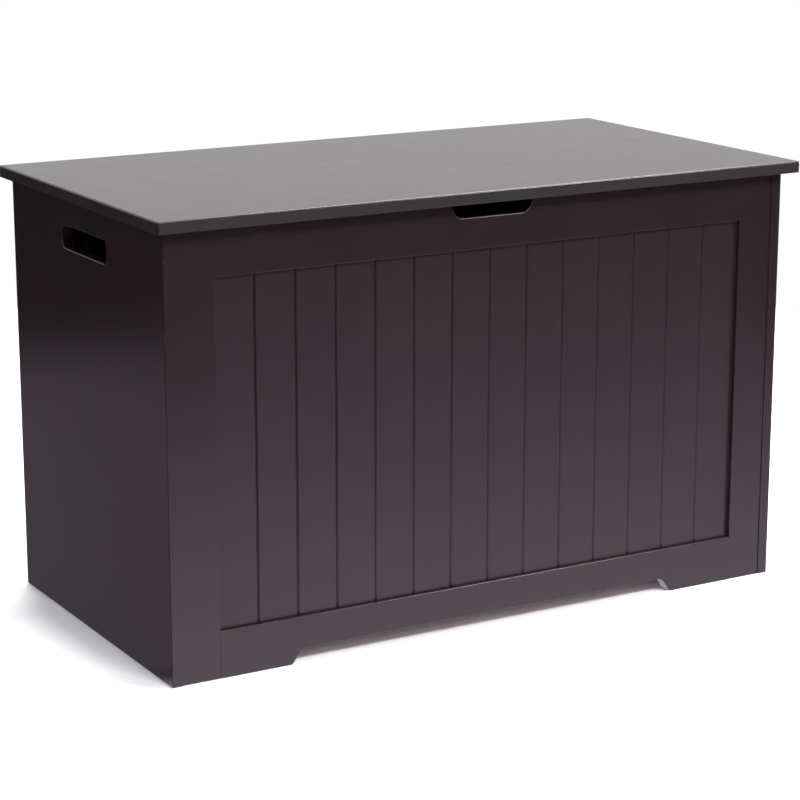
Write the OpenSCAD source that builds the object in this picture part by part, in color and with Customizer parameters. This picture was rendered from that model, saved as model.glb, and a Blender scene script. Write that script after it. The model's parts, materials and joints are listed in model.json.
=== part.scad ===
// Wooden toy box: a flat-lidded chest with a recessed beadboard front and cut-out handles.
// The lid lifts on two butt hinges at the rear and is held by a folding lid stay on each side.
// Millimetres. X runs left to right, the front faces -Y and Z is up. The origin is on the floor
// under the middle of the closed box. Right-hand pieces are drawn, left-hand ones are mirrored.

/* [Overall] */
// Length of the lid, left to right
lid_w = 762; // [720:1:820]
// Depth of the lid, front to back
lid_d = 406; // [390:1:440]
// Height of the closed box
total_h = 470; // [450:1:510]
// How far the lid reaches past each side panel
overhang_side = 12; // [4:1:20]
// How far the lid reaches past the front
overhang_front = 16; // [4:1:24]
// How far the lid reaches past the back panel, over the hinge barrels
overhang_back = 6; // [6:0.5:10]

/* [Boards] */
// Thickness of the lid, side and back boards
board_t = 12.5; // [12.5:0.5:15]
// Thickness of the bottom board
bottom_t = 9; // [9:0.5:12]
// Height of the bottom board's underside above the floor
bottom_z = 30; // [30:1:60]
// Square section of the battens under the bottom board
batten = 12; // [11:0.5:12]
// Gap between the rim of the box and the closed lid
lid_gap = 1.5; // [1.5:0.1:2]

/* [Front frame] */
// Thickness of the stiles and rails
frame_t = 15; // [15:0.5:18]
// How far the frame sits behind the front edges of the side panels
frame_setback = 1; // [0:0.5:2]
// Width of each stile
stile_w = 41.5; // [40:0.5:50]
// Height of the top rail
top_rail_h = 48; // [44:1:60]
// Height of the bottom rail
bottom_rail_h = 50; // [48:1:60]
// Depth from the face of the frame to the face of the beadboard
recess = 5; // [4:0.5:6]
// Thickness of the beadboard
bead_t = 5; // [4:0.5:5]
// How far the beadboard sits in the groove all round
groove_depth = 8; // [5:0.5:8]
// Number of slats that the beads divide the panel into
slat_count = 14; // [6:1:20]
// Width of each bead groove at the face
bead_w = 3.4; // [2:0.2:4]
// Depth of each bead groove
bead_depth = 1.9; // [1:0.1:2.5]

/* [Cut-outs] */
// Length of each handle slot
slot_l = 114; // [90:1:130]
// Height of each handle slot
slot_h = 24; // [20:1:30]
// Corner radius of each handle slot
slot_r = 8; // [4:0.5:10]
// Depth of the slot's centre below the rim
slot_drop = 41; // [35:1:60]
// Width of the finger notch at the rim
notch_w = 99; // [80:1:140]
// Depth of the finger notch
notch_depth = 15; // [10:1:18]
// Width of the arch between the front feet, at the floor
arch_w = 470; // [300:5:560]
// Height of the arch between the front feet
arch_h = 16; // [8:1:17]

/* [Hinges] */
// Length of each butt hinge
hinge_l = 60; // [50:5:90]
// Distance of each hinge from the middle of the box
hinge_x = 230; // [150:5:280]
// Thickness of the hinge leaves
leaf_t = 1.2; // [1:0.1:1.2]
// Radius of the hinge barrel
barrel_r = 2.6; // [2.5:0.05:2.6]

/* [Lid stays] */
// Distance of the fixed pivot in front of the lid axis
pivot_back = 38; // [36:1:42]
// Distance of the fixed pivot below the lid axis
pivot_drop = 62; // [58:1:70]
// Distance of the lid pivot in front of the lid axis
lid_pivot_fwd = 100; // [90:1:110]
// Distance of the lid pivot below the lid axis
lid_pivot_drop = 12; // [12:0.5:14]
// Diameter of the round ends of the arm and of the link
stay_eye_d = 16; // [14:0.5:16]
// Width of the arm and of the link between their ends
stay_waist = 12; // [9:0.5:13]
// Outer radius of the damper housing
damper_r = 20; // [18:0.5:20]

/* [Hidden] */
$fn = 48;
eps = 1; // how far a cutter runs past the face it cuts

// Levels and faces of the box
lid_under = total_h - board_t;
rim = lid_under - lid_gap;
outer_x = lid_w / 2 - overhang_side;
inner_x = outer_x - board_t;
front_y = -lid_d / 2 + overhang_front;
rear_y = lid_d / 2 - overhang_back;
frame_y = front_y + frame_setback;
frame_back_y = frame_y + frame_t;
back_inner_y = rear_y - board_t;
middle_y = (front_y + rear_y) / 2;

// The opening in the front frame and the beadboard in it
open_x = inner_x - stile_w;
open_z = [bottom_rail_h, rim - top_rail_h];
bead_y = frame_y + recess;
groove_z = [open_z[0] - groove_depth, open_z[1] + groove_depth];
slat_w = 2 * open_x / slat_count;

// Corner radii of the cut-outs
notch_slant = 7;
notch_r = 12;
notch_lip_r = 2;
arch_slant = 11;
arch_r = 12;
foot_r = 4;

// Battens
batten_z = bottom_z - batten;
batten_x = inner_x - batten;

// Dowels and cam fittings. Heights are shares of the rim height
frame_dowel_r = 4;
frame_dowel_l = 40;
frame_dowel_inset = [12, 34];
panel_dowel_r = 3;
panel_dowel_in_side = 8;
panel_dowel_in_edge = 16;
panel_dowel_z = [for (share = [0.14, 0.5, 0.88]) share * rim];
cam_z = [for (share = [0.25, 0.75]) share * rim];
cam_r = 6;
cam_t = 9.5;
cam_axis_depth = 6.25;
cam_reach = 24;
cam_thread_r = 2.6;
cam_thread_l = 9;
cam_shank_r = 2.4;
cam_shank_l = 16.5;
cam_neck_r = 1.6;
cam_head_r = 2.2;
cam_head_l = 2.6;

// Screws: shank radius, length under the head, head radius, head height
batten_screw = [1.75, 18, 3.5, 2];
stay_screw = [1.75, 11, 3.4, 2];
hinge_screw = [1.5, 10, 2.8, 1.5];

// Places of the screws
side_batten_cross_y = [for (share = [-0.36, 0, 0.36]) middle_y + share * (rear_y - front_y)];
side_batten_up_y = [for (share = [-0.18, 0.18]) middle_y + share * (rear_y - front_y)];
long_batten_cross_x = [for (share = [-0.88, -0.3, 0.3, 0.88]) share * open_x];
long_batten_up_x = [for (share = [-0.6, 0, 0.6]) share * open_x];

// Hinges. The axis is 0.3 mm clear of the back board and of the lid
hinge_clear = 0.3;
axis_y = rear_y + barrel_r + hinge_clear;
axis_z = lid_under - barrel_r - hinge_clear;
pin_r = 1.3;
pin_bore_r = 1.35;
pin_head_r = 2.2;
pin_head_t = 0.8;
knuckles = 5;
knuckle_gap = 0.4;
leaf_h = 28;
leaf_screw_drop = 22;
leaf_screw_x = [for (share = [-0.36, 0, 0.36]) share * hinge_l];

// Lid stays. Levels are measured inwards from the side panel
stay_y = axis_y - pivot_back;
stay_z = axis_z - pivot_drop;
to_elbow = [-lid_pivot_drop, -lid_pivot_fwd];
to_lid_pivot = to_elbow + [pivot_drop, pivot_back];
plate_t = 2;
housing_t = 14;
damper_inner_r = damper_r - 3;
rotor_level = [3, 11];
rotor_clear = 0.4;
cap_t = 2;
shaft_r = 4;
shaft_clear = 0.1;
arm_level = 14.6;
link_level = 17.1;
stay_t = 2;
rivet_r = 2.5;
rivet_head_r = 4.5;
rivet_head_t = 1.2;
rivet_head_clear = 0.3;
elbow_bore_r = 2.55;
lid_bore_r = 2.75;
base_w = 30;
base_h = 68;
base_screw = [27, 9];
bracket_l = 40;
bracket_reach = 26;
bracket_screw_y = 13;
bracket_screw_level = [24, 35];

// Bumpers on the rim
bumper_r = 4;
bumper_rear_inset = 27;

// Colours
painted = [0.16, 0.13, 0.14];
raw_board = [0.55, 0.42, 0.30];
beech = [0.78, 0.63, 0.43];
zinc = [0.72, 0.72, 0.70];
black_coat = [0.17, 0.17, 0.18];
dark_plastic = [0.12, 0.12, 0.13];
soft_rubber = [0.35, 0.35, 0.36];

// ---------------------------------------------------------------- helpers

// Draws right-hand pieces where they are and mirrors left-hand ones
module on_side(side) {
    if (side == "right") children();
    else mirror([1, 0, 0]) children();
}

// Rectangle with round corners, centred on the origin
module rounded_rect(w, h, r) {
    square([w - 2 * r, h], center = true);
    square([w, h - 2 * r], center = true);
    for (x = [-1, 1], y = [-1, 1])
        translate([x * (w / 2 - r), y * (h / 2 - r)]) circle(r);
}

// Outline of a notch that opens at y = 0 and runs up to y = depth. Its ends lean inwards by
// slant, its inner corners have radius r and the lips at the opening have radius lip_r
module notch_outline(w, depth, slant, r, lip_r) {
    half_angle = (90 + atan(slant / depth)) / 2;
    reach = r / tan(half_angle);
    lip = lip_r / tan(half_angle);
    along = [slant, depth] / norm([slant, depth]);
    for (side = [0, 1]) mirror([side, 0]) {
        corner = [w / 2 - slant, depth];
        from_slant = corner - [-along[0], along[1]] * reach;
        polygon([[-eps, 0], [w / 2, 0], from_slant, corner - [reach, 0], [-eps, depth]]);
        translate([corner[0] - reach, depth - r]) circle(r);
        difference() {
            polygon([[w / 2 - lip, 0], [w / 2 + lip, 0], [w / 2, 0] + [-along[0], along[1]] * lip]);
            translate([w / 2 + lip, lip_r]) circle(lip_r);
        }
        translate([-eps, -eps]) square([w / 2 + lip + eps, eps]);
    }
}

// Flat bar of the lid stay, with a round eye at each end
module stay_bar(from, to) {
    run = to - from;
    for (place = [from, to]) translate(place) cylinder(d = stay_eye_d, h = stay_t);
    translate(from) rotate(atan2(run[1], run[0])) translate([0, -stay_waist / 2, 0])
        cube([norm(run), stay_waist, stay_t]);
}

// Cross recess in a screw head, cut downwards from the origin
module cross_recess(r, depth) {
    for (turn = [0, 90])
        rotate(turn) translate([-r, -0.45, -depth]) cube([2 * r, 0.9, depth + eps]);
}

// Screw with a low pan head above the origin and its shank below it
module pan_screw(s) {
    difference() {
        union() {
            translate([0, 0, -s[1]]) cylinder(r = s[0], h = s[1]);
            cylinder(r = s[2], h = s[3] * 0.6);
            translate([0, 0, s[3] * 0.6]) cylinder(r1 = s[2], r2 = s[2] * 0.72, h = s[3] * 0.4);
        }
        translate([0, 0, s[3]]) cross_recess(s[2] * 0.6, s[3] * 0.5);
    }
}

// Hole for the shank of a screw whose head sits at the origin
module screw_hole(s) {
    translate([0, 0, -s[1]]) cylinder(r = s[0], h = s[1] + eps);
}

// Flush countersunk screw, with the top of its head at the origin
module flush_screw(s) {
    difference() {
        union() {
            translate([0, 0, -s[1]]) cylinder(r = s[0], h = s[1]);
            translate([0, 0, -s[3]]) cylinder(r1 = s[0], r2 = s[2], h = s[3]);
        }
        cross_recess(s[2] * 0.55, s[3] * 0.5);
    }
}

// Hole and countersink for a flush screw
module flush_screw_hole(s) {
    translate([0, 0, -s[1]]) cylinder(r = s[0], h = s[1] + eps);
    translate([0, 0, -s[3]]) cylinder(r1 = s[0], r2 = s[2], h = s[3]);
}

// ---------------------------------------------------------------- places of fasteners

// Cam fittings: origin at the side panel's inner face, +Z inwards, +X up
module at_cam_bolts(side) {
    on_side(side)
        for (z = cam_z, y = [frame_back_y - cam_axis_depth, back_inner_y + cam_axis_depth])
            translate([inner_x, y, z]) rotate([0, -90, 0]) children();
}

// Cam housings: origin at the board's inner face, -Z into the board, +X to the side panel
module at_cam_locks(side, which) {
    on_side(side)
        for (z = cam_z) {
            if (which == "front") translate([inner_x - cam_reach, frame_back_y, z])
                rotate([-90, 0, 0]) children();
            else translate([inner_x - cam_reach, back_inner_y, z]) rotate([90, 0, 0]) children();
        }
}

// Dowels between a side panel and the front frame or the back panel, +Z inwards
module at_panel_dowels(side) {
    on_side(side)
        for (z = panel_dowel_z, y = [frame_y + frame_t / 2, rear_y - board_t / 2])
            translate([inner_x, y, z]) rotate([0, -90, 0]) children();
}

// Dowels between stiles and rails, centred on the joint
module at_frame_dowels() {
    for (side = [-1, 1], inset = frame_dowel_inset, z = [inset, rim - inset])
        translate([side * open_x, frame_y + frame_t / 2, z]) rotate([0, 90, 0]) children();
}

// Screws through the battens: sideways into the boards, then upwards into the bottom board
module at_side_batten_screws(side) {
    on_side(side) {
        for (y = side_batten_cross_y)
            translate([batten_x, y, batten_z + batten / 2]) rotate([0, -90, 0]) children();
        for (y = side_batten_up_y)
            translate([batten_x + batten / 2, y, batten_z]) rotate([180, 0, 0]) children();
    }
}

module at_front_batten_screws() {
    for (x = long_batten_cross_x)
        translate([x, frame_back_y + batten, batten_z + batten / 2]) rotate([-90, 0, 0]) children();
    for (x = long_batten_up_x)
        translate([x, frame_back_y + batten / 2, batten_z]) rotate([180, 0, 0]) children();
}

module at_back_batten_screws() {
    for (x = long_batten_cross_x)
        translate([x, back_inner_y - batten, batten_z + batten / 2]) rotate([90, 0, 0]) children();
    for (x = long_batten_up_x)
        translate([x, back_inner_y - batten / 2, batten_z]) rotate([180, 0, 0]) children();
}

// Hinge frame: origin on the lid axis, in the middle of the hinge
module at_hinge(side) {
    on_side(side) translate([hinge_x, axis_y, axis_z]) children();
}

// Screws of the box leaf, with their heads outwards, in the hinge frame
module at_leaf_screws() {
    for (x = leaf_screw_x)
        translate([x, -barrel_r - hinge_clear + leaf_t, -leaf_screw_drop]) rotate([-90, 0, 0]) children();
}

// The lid leaf is the box leaf turned a quarter turn about the axis
module as_lid_leaf() {
    rotate([-90, 0, 0]) children();
}

// Stay frame: origin at the fixed pivot on the side panel, +Z inwards, +X up, +Y backwards
module at_stay(side) {
    on_side(side) translate([inner_x, stay_y, stay_z]) rotate([0, -90, 0]) children();
}

module at_base_screws() {
    for (x = [-1, 1], y = [-1, 1])
        translate([x * base_screw[0], y * base_screw[1], plate_t]) children();
}

module at_bracket_screws() {
    for (y = [-1, 1], level = bracket_screw_level)
        translate([lid_under - stay_z - plate_t, to_lid_pivot[1] + y * bracket_screw_y, level])
            rotate([0, -90, 0]) children();
}

// ---------------------------------------------------------------- boards

module side_panel(side) {
    color(painted) difference() {
        on_side(side) translate([inner_x, front_y, 0]) cube([board_t, rear_y - front_y, rim]);
        on_side(side) translate([inner_x - eps, middle_y, rim - slot_drop])
            rotate([90, 0, 90]) linear_extrude(board_t + 2 * eps) rounded_rect(slot_l, slot_h, slot_r);
        at_cam_bolts(side) translate([0, 0, -cam_thread_l]) cylinder(r = cam_thread_r, h = cam_thread_l + eps);
        at_panel_dowels(side) translate([0, 0, -panel_dowel_in_side])
            cylinder(r = panel_dowel_r, h = panel_dowel_in_side + eps);
        at_side_batten_screws(side) screw_hole(batten_screw);
        at_stay(side) at_base_screws() screw_hole(stay_screw);
    }
}

module back_panel() {
    color(painted) difference() {
        translate([-inner_x, back_inner_y, 0]) cube([2 * inner_x, board_t, rim]);
        for (side = ["left", "right"]) {
            edge_holes(side);
            at_cam_locks(side, "back") cam_pocket();
            at_hinge(side) at_leaf_screws() screw_hole(hinge_screw);
        }
        at_back_batten_screws() screw_hole(batten_screw);
    }
}

// Holes in the edge of a board or stile for the cam bolts and dowels
module edge_holes(side) {
    at_cam_bolts(side) translate([0, 0, -eps]) cylinder(r = cam_shank_r, h = cam_reach + eps);
    at_panel_dowels(side) translate([0, 0, -eps]) cylinder(r = panel_dowel_r, h = panel_dowel_in_edge + eps);
}

module cam_pocket() {
    translate([0, 0, -cam_t]) cylinder(r = cam_r, h = cam_t + eps);
}

module bottom_panel() {
    color(painted) difference() {
        translate([-inner_x, frame_back_y, bottom_z])
            cube([2 * inner_x, back_inner_y - frame_back_y, bottom_t]);
        at_front_batten_screws() screw_hole(batten_screw);
        at_back_batten_screws() screw_hole(batten_screw);
        for (side = ["left", "right"]) at_side_batten_screws(side) screw_hole(batten_screw);
    }
}

module front_stile(side) {
    color(painted) difference() {
        on_side(side) translate([open_x, frame_y, 0]) cube([stile_w, frame_t, rim]);
        on_side(side) translate([open_x - eps, bead_y, groove_z[0]])
            cube([groove_depth + eps, bead_t, groove_z[1] - groove_z[0]]);
        edge_holes(side);
        at_cam_locks(side, "front") cam_pocket();
        at_frame_dowels() frame_dowel();
    }
}

module front_rail(z, h) {
    translate([-open_x, frame_y, z]) cube([2 * open_x, frame_t, h]);
}

module front_top_rail() {
    color(painted) difference() {
        front_rail(open_z[1], top_rail_h);
        translate([0, frame_back_y + eps, rim]) rotate([90, 0, 0]) mirror([0, 1, 0])
            linear_extrude(frame_t + 2 * eps)
                notch_outline(notch_w, notch_depth, notch_slant, notch_r, notch_lip_r);
        bead_groove();
        at_frame_dowels() frame_dowel();
    }
}

module front_bottom_rail() {
    color(painted) difference() {
        front_rail(0, bottom_rail_h);
        translate([0, frame_back_y + eps, 0]) rotate([90, 0, 0])
            linear_extrude(frame_t + 2 * eps) notch_outline(arch_w, arch_h, arch_slant, arch_r, foot_r);
        bead_groove();
        at_frame_dowels() frame_dowel();
        at_front_batten_screws() screw_hole(batten_screw);
    }
}

// The space that the beadboard takes in the rails
module bead_groove() {
    translate([-open_x - eps, bead_y, groove_z[0]])
        cube([2 * open_x + 2 * eps, bead_t, groove_z[1] - groove_z[0]]);
}

// Tongued-in panel with a V groove between each two slats
module beadboard_panel() {
    edge_x = open_x + groove_depth;
    beads = [for (i = [1:slat_count - 1], step = [-1, 0, 1])
        [-open_x + i * slat_w + step * bead_w / 2, step == 0 ? bead_depth : 0]];
    color(painted) translate([0, bead_y, groove_z[0]]) linear_extrude(groove_z[1] - groove_z[0])
        polygon(concat([[-edge_x, bead_t], [-edge_x, 0]], beads, [[edge_x, 0], [edge_x, bead_t]]));
}

module batten_bar(side) {
    on_side(side) translate([batten_x, frame_back_y, batten_z])
        cube([batten, back_inner_y - frame_back_y, batten]);
}

module batten_side(side) {
    color(raw_board) difference() {
        batten_bar(side);
        at_side_batten_screws(side) flush_screw_hole(batten_screw);
    }
}

module batten_front() {
    color(raw_board) difference() {
        translate([-batten_x, frame_back_y, batten_z]) cube([2 * batten_x, batten, batten]);
        at_front_batten_screws() flush_screw_hole(batten_screw);
    }
}

module batten_back() {
    color(raw_board) difference() {
        translate([-batten_x, back_inner_y - batten, batten_z]) cube([2 * batten_x, batten, batten]);
        at_back_batten_screws() flush_screw_hole(batten_screw);
    }
}

// ---------------------------------------------------------------- fixings inside the boards

module frame_dowel() {
    translate([0, 0, -frame_dowel_l / 2]) cylinder(r = frame_dowel_r, h = frame_dowel_l);
}

module frame_dowels() {
    color(beech) at_frame_dowels() frame_dowel();
}

module panel_dowels() {
    color(beech) for (side = ["left", "right"]) at_panel_dowels(side)
        translate([0, 0, -panel_dowel_in_side])
            cylinder(r = panel_dowel_r, h = panel_dowel_in_side + panel_dowel_in_edge);
}

// Threaded end in the side panel, plain shank, thin neck and a head that the cam grips
module cam_bolts() {
    color(zinc) for (side = ["left", "right"]) at_cam_bolts(side) {
        translate([0, 0, -cam_thread_l]) cylinder(r = cam_thread_r, h = cam_thread_l);
        cylinder(r = cam_shank_r, h = cam_shank_l);
        cylinder(r = cam_neck_r, h = cam_reach);
        translate([0, 0, cam_reach - cam_head_l / 2]) cylinder(r = cam_head_r, h = cam_head_l);
    }
}

// Round cam with a driver slot on top and a pocket for the head of the bolt
module cam_locks() {
    color(zinc) for (side = ["left", "right"], which = ["front", "back"])
        at_cam_locks(side, which) difference() {
            translate([0, 0, -cam_t]) cylinder(r = cam_r, h = cam_t);
            translate([-cam_head_l / 2 - 0.5, -2.5, -cam_axis_depth - 2.5]) cube([cam_r + 5, 5, 5]);
            cross_recess(3.4, 1.4);
        }
}

module batten_screws() {
    color(zinc) {
        at_front_batten_screws() flush_screw(batten_screw);
        at_back_batten_screws() flush_screw(batten_screw);
        for (side = ["left", "right"]) at_side_batten_screws(side) flush_screw(batten_screw);
    }
}

module rim_bumpers() {
    color(soft_rubber) for (side = ["left", "right"]) on_side(side) {
        translate([inner_x - stile_w / 2, frame_y + frame_t / 2, rim]) cylinder(r = bumper_r, h = lid_gap);
        translate([inner_x + board_t / 2, rear_y - bumper_rear_inset, rim])
            cylinder(r = bumper_r, h = lid_gap);
    }
}

// ---------------------------------------------------------------- hinges

// Lengths of barrel that belong to a leaf: first is 0 for the box leaf and 1 for the lid leaf
module knuckle_run(first, r, gap) {
    pitch = hinge_l / knuckles;
    for (i = [first:2:knuckles - 1])
        translate([-hinge_l / 2 + i * pitch + gap / 2, 0, 0])
            rotate([0, 90, 0]) cylinder(r = r, h = pitch - gap);
}

module hinge_leaf(first) {
    difference() {
        union() {
            translate([-hinge_l / 2, -barrel_r - hinge_clear, -leaf_h]) cube([hinge_l, leaf_t, leaf_h]);
            knuckle_run(first, barrel_r, knuckle_gap);
        }
        knuckle_run(1 - first, barrel_r + knuckle_gap, 0);
        translate([-hinge_l / 2 - eps, 0, 0]) rotate([0, 90, 0])
            cylinder(r = pin_bore_r, h = hinge_l + 2 * eps);
        at_leaf_screws() screw_hole(hinge_screw);
    }
}

module hinge_box_leaf(side) {
    color(zinc) at_hinge(side) hinge_leaf(0);
}

module hinge_lid_leaf(side) {
    color(zinc) at_hinge(side) as_lid_leaf() hinge_leaf(1);
}

module hinge_pin(side) {
    color(zinc) at_hinge(side) rotate([0, 90, 0]) {
        translate([0, 0, -hinge_l / 2]) cylinder(r = pin_r, h = hinge_l);
        for (end = [0, 1]) mirror([0, 0, end])
            translate([0, 0, hinge_l / 2]) cylinder(r1 = pin_head_r, r2 = pin_head_r * 0.6, h = pin_head_t);
    }
}

module hinge_box_screws() {
    color(zinc) for (side = ["left", "right"]) at_hinge(side) at_leaf_screws() pan_screw(hinge_screw);
}

module hinge_lid_screws() {
    color(zinc) for (side = ["left", "right"])
        at_hinge(side) as_lid_leaf() at_leaf_screws() pan_screw(hinge_screw);
}

// ---------------------------------------------------------------- lid

module lid_panel() {
    color(painted) difference() {
        translate([-lid_w / 2, -lid_d / 2, lid_under]) cube([lid_w, lid_d, board_t]);
        for (side = ["left", "right"]) {
            at_hinge(side) as_lid_leaf() at_leaf_screws() screw_hole(hinge_screw);
            at_stay(side) at_bracket_screws() screw_hole(stay_screw);
        }
    }
}

// ---------------------------------------------------------------- lid stays

// Screwed plate and the cup of the damper, in one piece
module stay_base(side) {
    color(black_coat) at_stay(side) difference() {
        union() {
            linear_extrude(plate_t) rounded_rect(base_h, base_w, 4);
            cylinder(r = damper_r, h = housing_t);
        }
        translate([0, 0, plate_t]) cylinder(r = damper_inner_r, h = housing_t);
        at_base_screws() screw_hole(stay_screw);
    }
}

module stay_cap(side) {
    color(dark_plastic) at_stay(side) translate([0, 0, housing_t - cap_t]) difference() {
        cylinder(r = damper_inner_r, h = cap_t);
        translate([0, 0, -eps]) cylinder(r = shaft_r + shaft_clear, h = cap_t + 2 * eps);
    }
}

module stay_base_screws() {
    color(zinc) for (side = ["left", "right"]) at_stay(side) at_base_screws() pan_screw(stay_screw);
}

// Drum that turns in the damper's cup, with the shaft that carries the arm
module stay_rotor(side) {
    color(dark_plastic) at_stay(side) {
        translate([0, 0, rotor_level[0]])
            cylinder(r = damper_inner_r - rotor_clear, h = rotor_level[1] - rotor_level[0]);
        translate([0, 0, rotor_level[0]])
            cylinder(r = shaft_r, h = arm_level + stay_t + 0.6 - rotor_level[0]);
    }
}

module stay_arm(side) {
    color(black_coat) at_stay(side) translate([0, 0, arm_level]) difference() {
        stay_bar([0, 0], to_elbow);
        translate([0, 0, -eps]) cylinder(r = shaft_r, h = stay_t + 2 * eps);
        translate([to_elbow[0], to_elbow[1], -eps]) cylinder(r = rivet_r, h = stay_t + 2 * eps);
    }
}

module stay_link(side) {
    color(black_coat) at_stay(side) translate([0, 0, link_level]) difference() {
        stay_bar(to_elbow, to_lid_pivot);
        translate([to_elbow[0], to_elbow[1], -eps]) cylinder(r = elbow_bore_r, h = stay_t + 2 * eps);
        translate([to_lid_pivot[0], to_lid_pivot[1], -eps])
            cylinder(r = lid_bore_r, h = stay_t + 2 * eps);
    }
}

// Rivet that is fast in the outer bar or ear and lets the link turn on it
module stay_rivet() {
    link_top = link_level + stay_t;
    translate([0, 0, arm_level - rivet_head_t]) cylinder(r = rivet_head_r, h = rivet_head_t);
    translate([0, 0, arm_level]) cylinder(r = rivet_r, h = link_top + rivet_head_clear - arm_level);
    translate([0, 0, link_top + rivet_head_clear]) cylinder(r = rivet_head_r, h = rivet_head_t);
}

module stay_elbow_rivet(side) {
    color(zinc) at_stay(side) translate(to_elbow) stay_rivet();
}

module stay_lid_rivet(side) {
    color(zinc) at_stay(side) translate(to_lid_pivot) stay_rivet();
}

// Angle bracket: a plate under the lid and an ear that hangs down to the lid pivot
module stay_bracket(side) {
    drop = lid_under - stay_z - to_lid_pivot[0];
    color(black_coat) at_stay(side) difference() {
        translate([to_lid_pivot[0], to_lid_pivot[1], arm_level]) {
            cylinder(d = stay_eye_d, h = stay_t);
            translate([0, -stay_eye_d / 2, 0]) cube([drop, stay_eye_d, stay_t]);
            translate([drop - plate_t, -bracket_l / 2, 0]) cube([plate_t, bracket_l, bracket_reach]);
        }
        translate([to_lid_pivot[0], to_lid_pivot[1], arm_level - eps])
            cylinder(r = rivet_r, h = stay_t + 2 * eps);
        at_bracket_screws() screw_hole(stay_screw);
    }
}

module stay_lid_screws() {
    color(zinc) for (side = ["left", "right"]) at_stay(side) at_bracket_screws() pan_screw(stay_screw);
}

// ---------------------------------------------------------------- nodes

side_panel("left");  // side_panel_left
side_panel("right");  // side_panel_right
back_panel();
bottom_panel();
front_stile("left");  // front_stile_left
front_stile("right");  // front_stile_right
front_top_rail();
front_bottom_rail();
beadboard_panel();
frame_dowels();
panel_dowels();
cam_bolts();
cam_locks();
batten_front();
batten_back();
batten_side("left");  // batten_left
batten_side("right");  // batten_right
batten_screws();
hinge_box_leaf("left");  // hinge_box_leaf_left
hinge_box_leaf("right");  // hinge_box_leaf_right
hinge_pin("left");  // hinge_pin_left
hinge_pin("right");  // hinge_pin_right
hinge_box_screws();
stay_base("left");  // stay_base_left
stay_base("right");  // stay_base_right
stay_cap("left");  // stay_cap_left
stay_cap("right");  // stay_cap_right
stay_base_screws();
rim_bumpers();
lid_panel();
hinge_lid_leaf("left");  // hinge_lid_leaf_left
hinge_lid_leaf("right");  // hinge_lid_leaf_right
hinge_lid_screws();
stay_bracket("left");  // stay_bracket_left
stay_bracket("right");  // stay_bracket_right
stay_lid_rivet("left");  // stay_lid_rivet_left
stay_lid_rivet("right");  // stay_lid_rivet_right
stay_lid_screws();
stay_rotor("left");  // stay_rotor_left
stay_rotor("right");  // stay_rotor_right
stay_arm("left");  // stay_arm_left
stay_arm("right");  // stay_arm_right
stay_elbow_rivet("left");  // stay_elbow_rivet_left
stay_elbow_rivet("right");  // stay_elbow_rivet_right
stay_link("left");  // stay_link_left
stay_link("right");  // stay_link_right
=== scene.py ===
"""Looks of a wooden toy box: espresso lacquer on board, two steels, plastic, rubber and bare wood.

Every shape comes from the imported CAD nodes. The boards are carried over with eased edges, and procedural
materials in the frame's own metres give each surface its finish.
"""
import json
import math

import bmesh
import bpy
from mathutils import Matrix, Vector


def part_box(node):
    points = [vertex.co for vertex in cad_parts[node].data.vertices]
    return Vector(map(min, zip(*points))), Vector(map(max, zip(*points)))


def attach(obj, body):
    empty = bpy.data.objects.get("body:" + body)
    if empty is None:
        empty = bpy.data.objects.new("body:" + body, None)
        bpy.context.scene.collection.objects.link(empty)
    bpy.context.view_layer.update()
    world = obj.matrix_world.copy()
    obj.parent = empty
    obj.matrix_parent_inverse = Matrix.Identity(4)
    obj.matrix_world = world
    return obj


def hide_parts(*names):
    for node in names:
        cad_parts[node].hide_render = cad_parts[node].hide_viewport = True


MM = 0.001

# ---------------------------------------------------------------- which node is what

# Boards, with the axis that their strokes or grain run along and the radius of their eased edges in mm
BOARDS = {
    "lid_panel": ("X", 2.0),
    "side_panel_left": ("Z", 1.4),
    "side_panel_right": ("Z", 1.4),
    "back_panel": ("X", 1.0),
    "bottom_panel": ("X", 0.8),
    "front_stile_left": ("Z", 1.2),
    "front_stile_right": ("Z", 1.2),
    "front_top_rail": ("X", 1.2),
    "front_bottom_rail": ("X", 1.5),
    "beadboard_panel": ("Z", 0.4),
    "batten_front": ("X", 0.8),
    "batten_back": ("X", 0.8),
    "batten_left": ("Y", 0.8),
    "batten_right": ("Y", 0.8),
}
# Boards whose lower edges are eased less, and the radius in mm that those edges and the seams get
CRISP_BELOW = ("lid_panel", "front_top_rail", "front_bottom_rail")
SEAM_RADIUS, UNDERSIDE_RADIUS = 0.5, 0.5
BOARD_SEGMENTS, FITTING_SEGMENTS = 4, 2
# A face looks down, or is upright, by the upward part of its normal
DOWNWARD, UPRIGHT = -0.2, 0.5
SHARP, FLAT = math.radians(30), math.radians(0.5)
LARGEST_HOLE = 20 * MM
SHORTEST_SEAM = 30 * MM
# Distances within which points are one point, are in line, and lie on the cut through a hand slot
WELDED, IN_LINE, ON_CUT = 0.002 * MM, 0.1 * MM, 0.001 * MM

# Radius of the softened edge of the fittings in mm, by the start of the node's name
FITTINGS = {
    "rim_bumpers": 0.45,
    "stay_cap": 0.5,
    "stay_rotor": 0.4,
    "stay_base_screws": 0.1,
    "stay_lid_screws": 0.1,
    "stay": 0.3,
    "hinge": 0.15,
    "batten_screws": 0.08,
    "frame_dowels": 0.4,
    "panel_dowels": 0.4,
    "cam_bolts": 0.1,
}


# ---------------------------------------------------------------- node helpers

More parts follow.
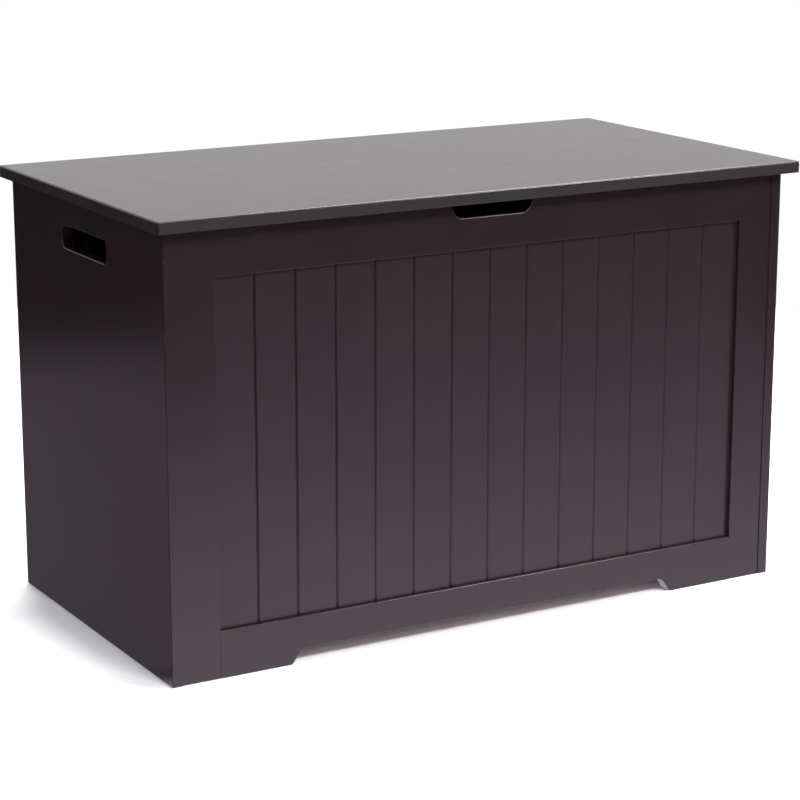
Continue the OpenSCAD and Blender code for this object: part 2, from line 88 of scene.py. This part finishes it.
class Shader:
    """A material under construction. Each method adds one node and returns its output socket."""

    def __init__(self, name):
        self.material = bpy.data.materials.new(name)
        self.material.use_nodes = True
        self.tree = self.material.node_tree
        self.tree.nodes.clear()

    def node(self, kind, inputs=None, **settings):
        made = self.tree.nodes.new(kind)
        for key, value in settings.items():
            setattr(made, key, value)
        for key, value in (inputs or {}).items():
            if isinstance(value, bpy.types.NodeSocket):
                self.tree.links.new(value, made.inputs[key])
            else:
                made.inputs[key].default_value = value
        return made

    def place(self, stretch=(1, 1, 1)):
        """Position on the object in metres, scaled by stretch."""
        coordinates = self.node("ShaderNodeTexCoord").outputs["Object"]
        return self.node("ShaderNodeMapping", {"Vector": coordinates, "Scale": stretch}).outputs[0]

    def noise(self, vector, scale, detail=2.0, roughness=0.5):
        return self.node("ShaderNodeTexNoise", {
            "Vector": vector, "Scale": scale, "Detail": detail, "Roughness": roughness}).outputs["Fac"]

    def remap(self, value, low, high, to_low=0.0, to_high=1.0):
        return self.node("ShaderNodeMapRange", {
            "Value": value, "From Min": low, "From Max": high,
            "To Min": to_low, "To Max": to_high}).outputs[0]

    def math(self, operation, a, b):
        return self.node("ShaderNodeMath", {0: a, 1: b}, operation=operation).outputs[0]

    def mix(self, factor, a, b):
        """Colour a turned into colour b by factor."""
        made = self.node("ShaderNodeMix", data_type="RGBA")
        for index, value in ((0, factor), (6, a), (7, b)):
            if isinstance(value, bpy.types.NodeSocket):
                self.tree.links.new(value, made.inputs[index])
            else:
                made.inputs[index].default_value = value
        return made.outputs[2]

    def bump(self, height, distance, strength=1.0, normal=None):
        inputs = {"Height": height, "Distance": distance, "Strength": strength}
        if normal is not None:
            inputs["Normal"] = normal
        return self.node("ShaderNodeBump", inputs).outputs[0]

    def edges(self, radius):
        """Mask that is 0 on open faces and rises to 1 on corners narrower than radius."""
        rounded = self.node("ShaderNodeBevel", {"Radius": radius}, samples=4).outputs[0]
        true = self.node("ShaderNodeNewGeometry").outputs["Normal"]
        agree = self.node("ShaderNodeVectorMath", {0: rounded, 1: true}, operation="DOT_PRODUCT")
        return self.remap(agree.outputs["Value"], 0.995, 0.80)

    def finish(self, **inputs):
        surface = self.node("ShaderNodeBsdfPrincipled",
                            {key.replace("_", " "): value for key, value in inputs.items()})
        self.node("ShaderNodeOutputMaterial", {"Surface": surface.outputs[0]})
        return self.material


def along(axis, coarse):
    """Stretch for a pattern that runs along an axis."""
    return tuple(coarse if letter == axis else 1.0 for letter in "XYZ")


# ---------------------------------------------------------------- finishes

# Roughness of the lacquer on the boards, and on the grooved panel
SATIN, DULLER = 0.205, 0.29


def espresso_lacquer(axis, gloss, rubbed=False):
    """Satin espresso lacquer with faint strokes along the board. Where it is rubbed the wood shows warmer."""
    s = Shader("espresso_" + ("edge" if rubbed else "face") + "_along_" + axis.lower())
    here = s.place()
    strokes = s.noise(s.place(along(axis, 0.06)), 260, detail=2)
    cloud = s.noise(here, 6, detail=3)
    colour = s.mix(s.remap(cloud, 0.3, 0.7), (0.0112, 0.0066, 0.0082, 1), (0.0132, 0.0080, 0.0097, 1))
    colour = s.mix(s.remap(strokes, 0.3, 0.7, 0, 0.25), colour, (0.0172, 0.0108, 0.0122, 1))
    roughness = s.remap(s.noise(here, 40, detail=3), 0.3, 0.7, gloss - 0.010, gloss + 0.010)
    if rubbed:
        broken = s.remap(s.noise(here, 90, detail=4), 0.50, 0.72)
        colour = s.mix(s.math("MULTIPLY", broken, 0.3), colour, (0.045, 0.027, 0.022, 1))
        roughness = s.math("ADD", roughness, s.math("MULTIPLY", broken, 0.05))
    peel = s.bump(s.noise(here, 330, detail=2), 0.004 * MM)
    ripple = s.bump(s.noise(here, 24, detail=1), 0.03 * MM, normal=peel)
    relief = s.bump(strokes, 0.004 * MM, normal=ripple)
    return s.finish(Base_Color=colour, Roughness=roughness, IOR=1.5, Normal=relief)


def sealed_edge():
    """Sealed and lacquered edge of the lid board: duller and greyer than its faces, with a fine tooth."""
    s = Shader("espresso_sealed_edge")
    here = s.place()
    tooth = s.noise(here, 420, detail=3)
    colour = s.mix(s.remap(tooth, 0.3, 0.7), (0.0120, 0.0096, 0.0104, 1), (0.0150, 0.0122, 0.0130, 1))
    roughness = s.remap(s.noise(here, 60, detail=3), 0.3, 0.7, 0.33, 0.39)
    return s.finish(Base_Color=colour, Roughness=roughness, IOR=1.5, Normal=s.bump(tooth, 0.006 * MM))


def plated_steel():
    """Zinc-plated steel: a bright grey metal with faint drawing lines and dull patches."""
    s = Shader("plated_steel")
    here = s.place()
    patches = s.noise(here, 160, detail=4)
    lines = s.noise(s.place((1, 14, 1)), 700, detail=2)
    colour = s.mix(s.remap(patches, 0.3, 0.7), (0.50, 0.51, 0.53, 1), (0.66, 0.66, 0.66, 1))
    colour = s.mix(s.math("MULTIPLY", s.edges(0.5 * MM), 0.5), colour, (0.80, 0.80, 0.79, 1))
    roughness = s.remap(patches, 0.3, 0.7, 0.30, 0.46)
    roughness = s.math("ADD", roughness, s.remap(lines, 0.3, 0.7, -0.05, 0.05))
    relief = s.bump(lines, 0.005 * MM, normal=s.bump(patches, 0.006 * MM))
    return s.finish(Base_Color=colour, Metallic=1.0, Roughness=roughness, Normal=relief)


def blackened_steel():
    """Pressed steel under a thin black coat, worn towards bare metal on its corners."""
    s = Shader("blackened_steel")
    here = s.place()
    coat = s.noise(here, 240, detail=3)
    worn = s.math("MULTIPLY", s.edges(0.6 * MM), s.remap(s.noise(here, 300, detail=3), 0.4, 0.6))
    colour = s.mix(s.remap(coat, 0.3, 0.7), (0.011, 0.011, 0.012, 1), (0.021, 0.021, 0.022, 1))
    colour = s.mix(s.math("MULTIPLY", worn, 0.6), colour, (0.16, 0.16, 0.16, 1))
    roughness = s.remap(coat, 0.3, 0.7, 0.34, 0.46)
    relief = s.bump(s.noise(here, 1400, detail=2), 0.01 * MM)
    return s.finish(Base_Color=colour, Roughness=roughness, IOR=1.5, Normal=relief)


def moulded_plastic():
    """Black damper plastic with a spark-eroded grain."""
    s = Shader("moulded_plastic")
    here = s.place()
    grain = s.noise(here, 1500, detail=3, roughness=0.6)
    colour = s.mix(s.remap(grain, 0.3, 0.7), (0.016, 0.016, 0.018, 1), (0.030, 0.030, 0.032, 1))
    colour = s.mix(s.math("MULTIPLY", s.edges(0.8 * MM), 0.4), colour, (0.07, 0.07, 0.075, 1))
    roughness = s.remap(s.noise(here, 220), 0.3, 0.7, 0.42, 0.56)
    return s.finish(Base_Color=colour, Roughness=roughness, Normal=s.bump(grain, 0.015 * MM))


def soft_rubber():
    """Dull grey bumper rubber with a dusty bloom."""
    s = Shader("soft_rubber")
    here = s.place()
    bloom = s.noise(here, 260, detail=4)
    colour = s.mix(s.remap(bloom, 0.35, 0.7), (0.030, 0.030, 0.032, 1), (0.055, 0.053, 0.052, 1))
    colour = s.mix(s.math("MULTIPLY", s.edges(0.8 * MM), 0.35), colour, (0.14, 0.14, 0.14, 1))
    roughness = s.remap(bloom, 0.3, 0.7, 0.62, 0.80)
    relief = s.bump(s.noise(here, 1800, detail=2), 0.01 * MM)
    return s.finish(Base_Color=colour, Roughness=roughness, Normal=relief)


def bare_wood(axis):
    """Planed, unfinished beech with rings, fibres and short dark flecks along the axis."""
    s = Shader("bare_wood_along_" + axis.lower())
    light, dark = (0.56, 0.38, 0.215, 1), (0.43, 0.27, 0.14, 1)
    rings = s.node("ShaderNodeTexWave", {
        "Vector": s.place(along(axis, 0.03)), "Scale": 95.0, "Distortion": 6.0,
        "Detail": 3.0, "Detail Scale": 1.3}, wave_type="RINGS", rings_direction=axis).outputs["Fac"]
    fibres = s.noise(s.place(along(axis, 0.06)), 900, detail=4, roughness=0.6)
    flecks = s.remap(s.noise(s.place(along(axis, 0.12)), 1500, detail=1), 0.62, 0.74)
    colour = s.mix(s.remap(rings, 0.1, 0.9), light, dark)
    colour = s.mix(s.remap(fibres, 0.3, 0.7, 0, 0.35), colour, dark)
    colour = s.mix(s.math("MULTIPLY", flecks, 0.5), colour, (0.15, 0.085, 0.045, 1))
    roughness = s.remap(fibres, 0.3, 0.7, 0.52, 0.68)
    relief = s.bump(fibres, 0.03 * MM)
    return s.finish(Base_Color=colour, Roughness=roughness, Normal=relief)


# ---------------------------------------------------------------- boards

def is_seam(edge, seams):
    """True for an upright edge that butts against the next board."""
    a, b = (v.co for v in edge.verts)
    upright = abs(a.x - b.x) < IN_LINE and abs(a.y - b.y) < IN_LINE
    at_seam = any(abs(abs(a.x) - seam) < IN_LINE for seam in seams)
    return upright and at_seam and edge.calc_length() > SHORTEST_SEAM


def open_edges(shape):
    """Sharp edges of the outline and of the cut-outs. The rims of drilled holes are left out."""
    sharp = [e for e in shape.edges if len(e.link_faces) == 2 and e.calc_face_angle(0) > SHARP]
    waiting, chosen = set(sharp), []
    for start in sharp:
        if start not in waiting:
            continue
        waiting.discard(start)
        group, front = [], [start]
        while front:
            edge = front.pop()
            group.append(edge)
            for near in (e for v in edge.verts for e in v.link_edges if e in waiting):
                waiting.discard(near)
                front.append(near)
        spots = [v.co for e in group for v in e.verts]
        size = max(max(c[i] for c in spots) - min(c[i] for c in spots) for i in range(3))
        if size > LARGEST_HOLE:
            chosen += group
    return chosen


def split_at_slot(shape, name):
    """Halves a side panel's faces through the middle of its hand slot, so that they carry no hole."""
    low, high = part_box(name)
    whole = shape.verts[:] + shape.edges[:] + shape.faces[:]
    cut = bmesh.ops.bisect_plane(shape, geom=whole, dist=ON_CUT,
                                 plane_co=(low + high) / 2, plane_no=(0, 1, 0))
    for item in cut["geom_cut"]:
        if isinstance(item, bmesh.types.BMEdge):
            item.seam = True


def board(name, face, edge, radius, seams, band=None):
    """Copy of a board with its flat faces cleared and its open edges eased, which stands for the node."""
    shape = bmesh.new()
    shape.from_mesh(frame["nodes"][name].data)
    bmesh.ops.remove_doubles(shape, verts=shape.verts, dist=WELDED)
    if name.startswith("side_panel"):
        split_at_slot(shape, name)
    bmesh.ops.dissolve_limit(shape, angle_limit=FLAT, verts=shape.verts,
                             edges=shape.edges, delimit={"SEAM"})
    weight = shape.edges.layers.float.new("bevel_weight_edge")
    for e in open_edges(shape):
        ease = SEAM_RADIUS if is_seam(e, seams) else radius
        if name in CRISP_BELOW and min(f.normal.z for f in e.link_faces) < DOWNWARD:
            ease = min(ease, UNDERSIDE_RADIUS)
        e[weight] = ease / radius
    for f in shape.faces:
        f.smooth = True
        if band and abs(f.normal.z) < UPRIGHT:
            f.material_index = 2
    mesh = bpy.data.meshes.new(name + "_board")
    shape.to_mesh(mesh)
    shape.free()
    for material in (face, edge, band or edge):
        mesh.materials.append(material)
    made = bpy.data.objects.new(name + "_board", mesh)
    bpy.context.scene.collection.objects.link(made)
    bevel = made.modifiers.new("eased_edges", "BEVEL")
    bevel.limit_method = "WEIGHT"
    bevel.width = radius * MM
    bevel.segments = BOARD_SEGMENTS
    bevel.use_clamp_overlap = False
    bevel.material = 1
    bevel.face_strength_mode = "FSTR_ALL"
    normals = made.modifiers.new("flat_shading_of_faces", "WEIGHTED_NORMAL")
    normals.use_face_influence = True
    body = next(body for body, nodes in frame["record"]["behaviour"]["bodies"].items() if name in nodes)
    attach(made, body)
    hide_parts(name)


def make_boards():
    """Makes every board, and returns the bare wood that the dowels share with the cleats."""
    seams = [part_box("back_panel")[1].x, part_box("front_top_rail")[1].x]
    faces = {axis: espresso_lacquer(axis, SATIN) for axis in "XZ"}
    edges = {axis: espresso_lacquer(axis, SATIN, rubbed=True) for axis in "XZ"}
    beadboard = espresso_lacquer("Z", DULLER)
    lid_edge = sealed_edge()
    wood = {axis: bare_wood(axis) for axis in "XY"}
    for name, (axis, radius) in BOARDS.items():
        if name.startswith("batten"):
            board(name, wood[axis], wood[axis], radius, seams)
        elif name == "lid_panel":
            board(name, faces[axis], edges[axis], radius, seams, band=lid_edge)
        elif name == "beadboard_panel":
            board(name, beadboard, beadboard, radius, seams)
        else:
            board(name, faces[axis], edges[axis], radius, seams)
    return wood["X"]


# ---------------------------------------------------------------- fittings

def smooth_shading_group():
    """Geometry nodes that turn smooth shading on, so that the weighted normals reach every face."""
    group = bpy.data.node_groups.new("smooth_shading", "GeometryNodeTree")
    group.interface.new_socket("Geometry", in_out="INPUT", socket_type="NodeSocketGeometry")
    group.interface.new_socket("Geometry", in_out="OUTPUT", socket_type="NodeSocketGeometry")
    start = group.nodes.new("NodeGroupInput")
    smooth = group.nodes.new("GeometryNodeSetShadeSmooth")
    end = group.nodes.new("NodeGroupOutput")
    group.links.new(start.outputs[0], smooth.inputs[0])
    group.links.new(smooth.outputs[0], end.inputs[0])
    return group


def soften(node, radius, smooth):
    """Welds the faceted import, clears its flat faces and rounds its sharp edges where they have room."""
    weld = node.modifiers.new("weld", "WELD")
    weld.merge_threshold = WELDED
    flat = node.modifiers.new("flat_faces", "DECIMATE")
    flat.decimate_type = "DISSOLVE"
    flat.angle_limit = FLAT
    if radius:
        bevel = node.modifiers.new("softened_edges", "BEVEL")
        bevel.width = radius * MM
        bevel.segments = FITTING_SEGMENTS
        bevel.limit_method = "ANGLE"
        bevel.angle_limit = SHARP
        bevel.face_strength_mode = "FSTR_ALL"
    shading = node.modifiers.new("smooth_shading", "NODES")
    shading.node_group = smooth
    normals = node.modifiers.new("flat_shading_of_faces", "WEIGHTED_NORMAL")
    normals.use_face_influence = True


def finish_fittings(dowel_wood):
    """Softens the fittings and gives each the finish of its material slot in the record."""
    finishes = {
        "zinc_steel": plated_steel(), "black_steel": blackened_steel(), "damper_plastic": moulded_plastic(),
        "bumper_rubber": soft_rubber(), "beech": dowel_wood,
    }
    slots = {part["node"]: part["material_slot"] for part in frame["record"]["subparts"]}
    smooth = smooth_shading_group()
    for name, node in frame["nodes"].items():
        if name in BOARDS:
            continue
        radius = next((r for start, r in FITTINGS.items() if name.startswith(start)), 0)
        soften(node, radius, smooth)
        for surface in node.material_slots:
            surface.material = finishes[slots[name]]


# ---------------------------------------------------------------- stage, light and camera

FLOOR_RADIUS = 1.6
FLOOR_SIDES = 128


def disc(name, height, hidden_from):
    """A flat disc under the box, kept out of the rays that are named."""
    mesh = bpy.data.meshes.new(name)
    shape = bmesh.new()
    bmesh.ops.create_circle(shape, cap_ends=True, segments=FLOOR_SIDES, radius=FLOOR_RADIUS)
    bmesh.ops.translate(shape, vec=(0, 0, height), verts=shape.verts)
    shape.to_mesh(mesh)
    shape.free()
    made = bpy.data.objects.new(name, mesh)
    bpy.context.scene.collection.objects.link(made)
    for kind in hidden_from:
        setattr(made, "visible_" + kind, False)
    return made


def pale_floor():
    """Matt white paper floor."""
    floor = disc("studio_floor", 0, ["glossy"])
    s = Shader("studio_paper")
    colour = s.mix(s.noise(s.place(), 3, detail=2), (0.84, 0.825, 0.85, 1), (0.88, 0.865, 0.89, 1))
    relief = s.bump(s.noise(s.place(), 900), 0.01 * MM)
    floor.data.materials.append(s.finish(Base_Color=colour, Roughness=0.8, Normal=relief))


# Strength of the painted reflection's glow in front of the box and beside it, and how far each reaches in
# metres
FRONT_GLOW, SIDE_GLOW = 1.40, 0.215
FRONT_REACH, SIDE_REACH = 1.7, 1.45
GLOW_TINT = (1.14, 1.0, 1.23, 1)
SHEEN_HEIGHT = 0.2 * MM
FRONT_FALLOFF = 1.5
# The front pool is cut off along a slanting line from the left corner, and is dimmer past the right side
LEFT_SLANT, LEFT_CUT = 1.2, (-0.06, 0.02)
RIGHT_MARGIN, RIGHT_DIMMED = 0.6, 0.68
SIDE_FADE = 0.4
# Behind the box's front the front pool gives way to the side one over this span
HANDOVER = (0.01, 0.06)


def painted_floor_reflection():
    """A painted reflection of the floor for the satin lacquer: a disc that glows though it is no lamp, seen
    only in reflections, with a pool of light in front of the box that fades outwards, and a dimmer glow
    beside it.
    """
    sheen = disc("painted_floor_reflection", SHEEN_HEIGHT,
                 ["camera", "diffuse", "shadow", "transmission", "volume_scatter"])
    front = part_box("front_top_rail")[0].y
    s = Shader("painted_floor_reflection")
    spot = s.node("ShaderNodeSeparateXYZ", {0: s.place()})
    ahead = s.remap(spot.outputs["Y"], front - FRONT_REACH, front)
    pool = s.math("MULTIPLY", s.math("POWER", ahead, FRONT_FALLOFF), FRONT_GLOW)
    left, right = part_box("side_panel_left")[0].x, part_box("side_panel_right")[1].x
    before = s.math("SUBTRACT", front, spot.outputs["Y"])
    inward = s.math("ADD", s.math("SUBTRACT", spot.outputs["X"], left),
                    s.math("MULTIPLY", before, LEFT_SLANT))
    pool = s.math("MULTIPLY", pool, s.remap(inward, *LEFT_CUT))
    dimmed = s.remap(spot.outputs["X"], 0, right + RIGHT_MARGIN, 1.0, RIGHT_DIMMED)
    pool = s.math("MULTIPLY", pool, dimmed)
    side = s.remap(spot.outputs["Y"], SIDE_REACH, SIDE_REACH - SIDE_FADE, 0, SIDE_GLOW)
    share = s.remap(spot.outputs["Y"], front + HANDOVER[0], front + HANDOVER[1])
    strength = s.math("ADD", s.math("MULTIPLY", pool, s.math("SUBTRACT", 1.0, share)),
                      s.math("MULTIPLY", side, share))
    glow = s.node("ShaderNodeEmission", {"Color": GLOW_TINT, "Strength": strength})
    s.node("ShaderNodeOutputMaterial", {"Surface": glow.outputs[0]})
    sheen.data.materials.append(s.material)


# Brightness of the surroundings by direction: (from, to, brightness there and there) backwards and upwards
BACKWARDS = (0.2, 0.75, 0.76, 0.79)
UPWARDS = (-0.02, 0.08, 0.02, 1.0)
WHITE = (1, 1, 1, 1)


def studio_surroundings():
    """White to the camera. To all else a white cyclorama, brightest behind the box, over a dim room."""
    world = bpy.data.worlds.new("studio")
    world.use_nodes = True
    bpy.context.scene.world = world
    tree = world.node_tree
    tree.nodes.clear()
    direction = tree.nodes.new("ShaderNodeTexCoord")
    split = tree.nodes.new("ShaderNodeSeparateXYZ")
    tree.links.new(direction.outputs["Generated"], split.inputs[0])

    def ramp(socket, low, high, to_low, to_high):
        made = tree.nodes.new("ShaderNodeMapRange")
        for key, value in (("From Min", low), ("From Max", high), ("To Min", to_low), ("To Max", to_high)):
            made.inputs[key].default_value = value
        tree.links.new(socket, made.inputs[0])
        return made.outputs[0]

    product = tree.nodes.new("ShaderNodeMath")
    product.operation = "MULTIPLY"
    tree.links.new(ramp(split.outputs["Y"], *BACKWARDS), product.inputs[0])
    tree.links.new(ramp(split.outputs["Z"], *UPWARDS), product.inputs[1])
    around = tree.nodes.new("ShaderNodeBackground")
    around.inputs["Color"].default_value = WHITE
    tree.links.new(product.outputs[0], around.inputs["Strength"])
    white = tree.nodes.new("ShaderNodeBackground")
    white.inputs["Color"].default_value = WHITE
    seen = tree.nodes.new("ShaderNodeLightPath")
    pick = tree.nodes.new("ShaderNodeMixShader")
    out = tree.nodes.new("ShaderNodeOutputWorld")
    tree.links.new(seen.outputs["Is Camera Ray"], pick.inputs[0])
    tree.links.new(around.outputs[0], pick.inputs[1])
    tree.links.new(white.outputs[0], pick.inputs[2])
    tree.links.new(pick.outputs[0], out.inputs[0])


def softbox(name, place, aim, size, watts, lights=True, mirrored=True):
    """A rectangular lamp. It can light the box without showing in its lacquer, or only show in it."""
    data = bpy.data.lights.new(name, "AREA")
    data.shape = "RECTANGLE"
    data.size, data.size_y = size
    data.energy = watts
    lamp = bpy.data.objects.new(name, data)
    lamp.location = place
    lamp.rotation_euler = (Vector(aim) - Vector(place)).to_track_quat("-Z", "Y").to_euler()
    lamp.visible_diffuse = lights
    lamp.visible_glossy = mirrored
    bpy.context.scene.collection.objects.link(lamp)


def camera(azimuth, elevation, aim, distance, lens):
    """Camera at an angle round the box from the front, and above the horizon, in degrees."""
    turn, lift = math.radians(azimuth), math.radians(elevation)
    back = Vector((math.sin(turn) * math.cos(lift), -math.cos(turn) * math.cos(lift), math.sin(lift)))
    data = bpy.data.cameras.new("camera")
    data.lens = lens
    made = bpy.data.objects.new("camera", data)
    made.location = Vector(aim) + back * distance
    made.rotation_euler = (-back).to_track_quat("-Z", "Y").to_euler()
    bpy.context.scene.collection.objects.link(made)
    bpy.context.scene.camera = made


# ---------------------------------------------------------------- the scene

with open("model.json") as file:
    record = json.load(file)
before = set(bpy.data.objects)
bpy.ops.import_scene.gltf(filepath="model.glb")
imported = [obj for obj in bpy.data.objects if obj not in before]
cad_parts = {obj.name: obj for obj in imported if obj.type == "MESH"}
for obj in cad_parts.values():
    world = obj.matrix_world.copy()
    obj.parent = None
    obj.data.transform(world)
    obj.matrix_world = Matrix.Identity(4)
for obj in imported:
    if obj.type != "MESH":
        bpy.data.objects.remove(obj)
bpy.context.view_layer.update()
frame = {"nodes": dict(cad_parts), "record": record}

finish_fittings(dowel_wood=make_boards())
pale_floor()
# Painted reflection: a glowing disc that only the lacquer's reflections see, standing in for the lit floor
painted_floor_reflection()
studio_surroundings()
# Lamps: place, what each points at, size in metres, watts
softbox("front_light", (-0.05, -1.9, 1.9), (0, 0, 0.1), (0.8, 0.5), 48)
softbox("side_light", (1.35, -1.75, 1.65), (0, -0.2, 0.44), (0.5, 0.5), 26)
# Mirrored, the next two would show in the lid as white patches to anyone looking from above
softbox("rear_light", (-0.25, 0.5, 2.1), (-0.25, 0.5, 0), (0.2, 0.2), 32, mirrored=False)
softbox("top_light", (0.72, -0.1, 2.05), (0.72, -0.1, 0), (0.85, 1.4), 85, mirrored=False)
# Only mirrored: it gives the lid its bright front edge
softbox("edge_light", (1.85, 0.4, 3.5), (0, -0.2, 0.47), (1.1, 1.6), 125, lights=False)
camera(azimuth=-30.0, elevation=14.15, aim=(-0.002, 0.0, 0.207), distance=2.72, lens=111)

bpy.context.scene.view_settings.view_transform = "Standard"
